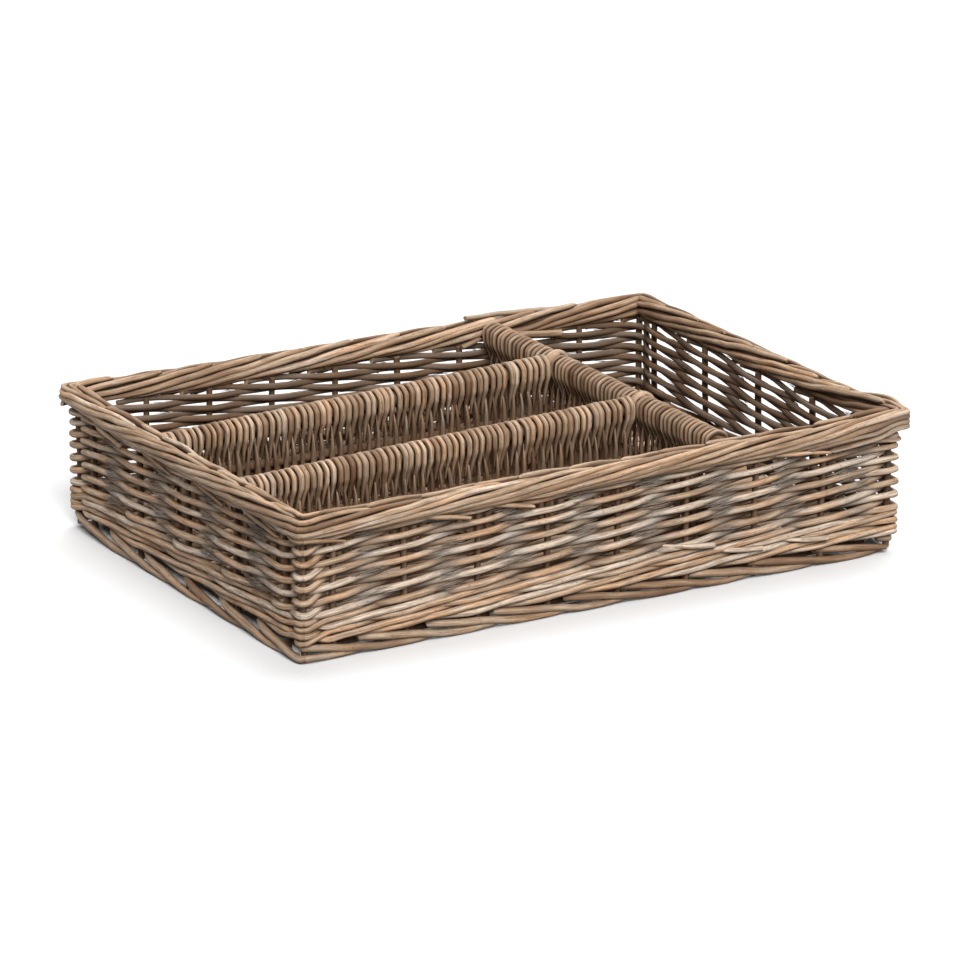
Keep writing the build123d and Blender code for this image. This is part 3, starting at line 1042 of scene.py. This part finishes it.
class Divider:
    """A row of strands bent over a rail, in and out of the stick below it."""

    def __init__(self, name, across, end_drop, pitch, strand_radius, shade, bare_end=0):
        self.name = name
        self.across = across
        self.along = 1 - across
        self.end_drop = end_drop
        self.pitch = pitch
        self.strand_radius = strand_radius
        self.shade = shade
        self.bare_end = bare_end
        low, high = box_mm(f"{name}_rail")
        self.middle = (low[across] + high[across]) / 2
        self.first = low[self.along]
        self.last = high[self.along]
        self.strand_low, self.strand_high = box_mm(f"{name}_strands")
        self.top = self.strand_high[2]

    def place(self, t, q, z):
        """A point at t along the divider and q to its +X or +Y side."""
        point = [0, 0, z]
        point[self.along] = t
        point[self.across] = self.middle + q
        return point

    def fall(self, t, drop):
        """How much lower than its high end a stick is at t, when it drops by a length in all."""
        return drop * (self.last - t) / (self.last - self.first)

    def stick(self, kind, radius, level, sides):
        """A rod along the divider."""
        first, last = (corner[self.along] for corner in box_mm(f"{self.name}_{kind}"))
        stops = [first + share * (last - first) for share in (0, 0.3, 0.7, 1)]
        points = [self.place(t, 0, level(t)) for t in stops]
        bundle = Bundle(f"{self.name}_{kind}", "rail_willow", sides, ending="rod")
        rod = Rod(points, (radius,), STICK_TONE, step=6, painted_shade=DEEP_SHADE)
        bundle.add(rod, (0, 0, 1), slants=(STICK_SLANT, STICK_SLANT))
        bundle.build()

    def strands(self, rail_level, middle_level, foot_level):
        """Strands bent over the rail, whose thin ends go in behind spears."""
        bundle = Bundle(f"{self.name}_strands", "divider_willow", 7)
        low = self.strand_low[self.along] + STRAND_R + self.bare_end
        high = self.strand_high[self.along] - STRAND_R
        count = round((high - low) / self.pitch)
        for number in range(count + 1):
            t = low + (high - low) * number / count + rng.normal(0, 0.25)
            self.strand(bundle, t, rail_level(t))
        spears = round(count / STRANDS_PER_SPEAR)
        for number in range(spears):
            for side in (-1, 1):
                t = low + (high - low) * (number + 0.5 + 0.25 * side) / spears + rng.normal(0, 0.4)
                self.spear(bundle, t, side, rail_level(t), middle_level(t), foot_level)
        bundle.build()

    def strand(self, bundle, t, rail):
        """One rod bent over the rail, with a kink where it leaves the rail on each side."""
        over = RAIL_R + STRAND_R
        leans = rng.normal(0, 0.7, 2)
        legs = rng.uniform(17, 23, 2)
        halves = []
        for side, lean, leg in zip((-1, 1), leans, legs):
            half = [self.place(t + lean, side * 0.25 * over, rail - leg)]
            for lean_share, q, height, rise in STRAND_HALF:
                z = rail + height * over + rise
                half.append(self.place(t + lean_share * lean, side * q * over, z))
            halves.append(half)
        points = halves[0] + halves[1][::-1]
        radius = self.strand_radius * rng.uniform(0.92, 1.15)
        self.put(bundle, points, radius, STRAND_TAPER, STRAND_STEP, rail)

    def spear(self, bundle, t, side, rail, middle_level, foot_level):
        """A rod that stands in the base and comes out to a point between two strands."""
        over = RAIL_R + STRAND_R
        past = STICK_R + STRAND_R
        lean = rng.normal(0, 0.8)
        points = [
            self.place(t + lean, side * 0.42 * over, rail - rng.uniform(5, 10)),
            self.place(t + 0.7 * lean, side * 0.62 * over, rail - 13),
            self.place(t + 0.3 * lean, side * 0.8 * over, rail - 20),
            self.place(t, side * past * 1.05, middle_level),
            self.place(t, side * past, foot_level + 3),
        ]
        radius = self.strand_radius * rng.uniform(1.15, 1.5)
        self.put(bundle, points, radius, SPEAR_TAPER, SPEAR_STEP, rail)

    def put(self, bundle, points, radius, taper, step, rail):
        """Adds a strand or spear, painted darker with depth and lighter on its outer side and top."""
        def shade(centre):
            return self.shade + np.clip((rail - SHADE_START - centre[:, 2]) / SHADE_DEPTH, 0, SHADE_MOST)

        radii = [share * radius for share in taper]
        rod = Rod(points, radii, strand_tone(), step=step, painted_shade=shade, kinks=STRAND_KINKS)
        q = rod.centre[:, self.across] - self.middle
        outward = np.zeros((len(q), 3))
        outward[:, self.across] = q
        outward[:, 2] = np.maximum(rod.centre[:, 2] - rail, 0) + 0.3
        bundle.add(rod, unit(outward), upright=self.place(1, -self.middle, 0))

    def build(self):
        """Makes the rail, the sticks and the strands."""
        stick_low, stick_high = box_mm(f"{self.name}_middle_stick")
        foot_height = box_mm(f"{self.name}_bottom_stick")[1][2] - STICK_R
        middle_height = stick_high[2] - STICK_R
        middle_drop = stick_high[2] - stick_low[2] - 2 * STICK_R

        def rail_level(t):
            return self.top - RAIL_R - 2 * STRAND_R - self.fall(t, self.end_drop)

        def middle_level(t):
            return middle_height - self.fall(t, middle_drop)

        self.stick("rail", RAIL_R, rail_level, 16)
        self.stick("middle_stick", STICK_R, middle_level, 10)
        self.stick("bottom_stick", STICK_R, lambda t: foot_height, 10)
        self.strands(rail_level, middle_level, foot_height)


def lashing(name, cross, junction):
    """A thin rod wound round the cross rail where a long rail meets it."""
    reach = RAIL_R + 2 * STRAND_R + LASHING_GAP
    level = cross.top - RAIL_R - 2 * STRAND_R
    stops = LASHING_TURNS * STOPS_PER_TURN
    points = []
    for stop in range(stops + 1):
        angle = 2 * math.pi * stop / STOPS_PER_TURN
        y = junction + (LASHING_HALF - LASHING_R) * (1 - 2 * stop / stops)
        points.append((cross.middle + reach * math.sin(angle), y, level + reach * math.cos(angle)))
    bundle = Bundle(name, "divider_willow", ending="rod")
    rod = Rod(points, (LASHING_R,), LASHING_TONE, step=2)
    bundle.add(rod, (0, -0.6, 0.8), upright=(0, 1, 0.01))
    bundle.build()


# Stage. The floor's size and the camera's reach are in metres. Lamps have a strength, a softness in degrees
# and the direction of their light.
FLOOR_SIZE = 30
FLOOR_WHITE = 0.85
FLOOR_BOUNCE = 0.22
FLOOR_ROUGHNESS = 0.9
WORLD_LIGHT = 0.14
LAMPS = {
    "key": (1.9, 40, (-0.3, -0.32, -0.9)),
    "fill": (3.7, 36, (0.24, 0.7, -0.66)),
}
TARGET = (24.41, 43.31, 18.70)
DISTANCE = 3454.0
AZIMUTH = math.radians(-30.12)
ELEVATION = math.radians(17.88)
LENS = 222.15
SENSOR = 36
CAMERA_REACH = 100


def stage():
    """A pale floor, a white surround, two soft lamps and the camera of the photograph."""
    scene = bpy.context.scene
    scene.view_settings.view_transform = "Standard"

    bpy.ops.mesh.primitive_plane_add(size=FLOOR_SIZE)
    floor = bpy.context.object
    floor.name = "floor"
    material = bpy.data.materials.new("floor")
    material.use_nodes = True
    shader = material.node_tree.nodes["Principled BSDF"]
    nodes = Nodes(material.node_tree)
    nodes.link(nodes.seen_directly(FLOOR_BOUNCE, FLOOR_WHITE), shader.inputs["Base Color"])
    shader.inputs["Roughness"].default_value = FLOOR_ROUGHNESS
    shader.inputs["Specular IOR Level"].default_value = 0
    floor.data.materials.append(material)

    world = bpy.data.worlds.new("studio")
    scene.world = world
    world.use_nodes = True
    nodes = Nodes(world.node_tree)
    background = world.node_tree.nodes["Background"]
    nodes.link(nodes.seen_directly(WORLD_LIGHT, 1), background.inputs["Strength"])
    background.inputs["Color"].default_value = (1, 1, 1, 1)

    for name, (strength, softness, direction) in LAMPS.items():
        lamp = bpy.data.lights.new(name, "SUN")
        lamp.energy = strength
        lamp.angle = math.radians(softness)
        holder = bpy.data.objects.new(name, lamp)
        holder.rotation_euler = Vector(direction).to_track_quat("-Z", "Y").to_euler()
        scene.collection.objects.link(holder)

    camera_data = bpy.data.cameras.new("camera")
    camera_data.sensor_width = SENSOR
    camera_data.lens = LENS
    camera_data.clip_end = CAMERA_REACH
    camera = bpy.data.objects.new("camera", camera_data)
    away = Vector((math.sin(AZIMUTH), -math.cos(AZIMUTH), math.tan(ELEVATION))).normalized()
    camera.location = (Vector(TARGET) + away * DISTANCE) * MM
    camera.rotation_euler = (-away).to_track_quat("-Z", "Y").to_euler()
    scene.collection.objects.link(camera)
    scene.camera = camera


stage()
stakes()
foot()
wale()
cut_ends()
weavers()
frays()
border()
corner_loop()
corner_fan()
base()
front_divider, rear_divider = (
    Divider(name, across=1, end_drop=RAIL_DROP, pitch=LONG_PITCH, strand_radius=STRAND_R, shade=LONG_SHADE)
    for name in ("front_divider", "rear_divider")
)
cross_divider = Divider("cross_divider", across=0, end_drop=0, pitch=CROSS_PITCH,
                        strand_radius=CROSS_STRAND_R, shade=CROSS_SHADE, bare_end=CROSS_BARE_END)
for divider in (front_divider, rear_divider, cross_divider):
    divider.build()
for divider in (front_divider, rear_divider):
    lashing(f"{divider.name}_lashing", cross_divider, divider.middle)
rail_end(cross_divider.middle)
for bundle in [*STAKES, *FOOT, *WALE, *WEAVERS, *BORDER, CORNER_POSTS]:
    bundle.build()
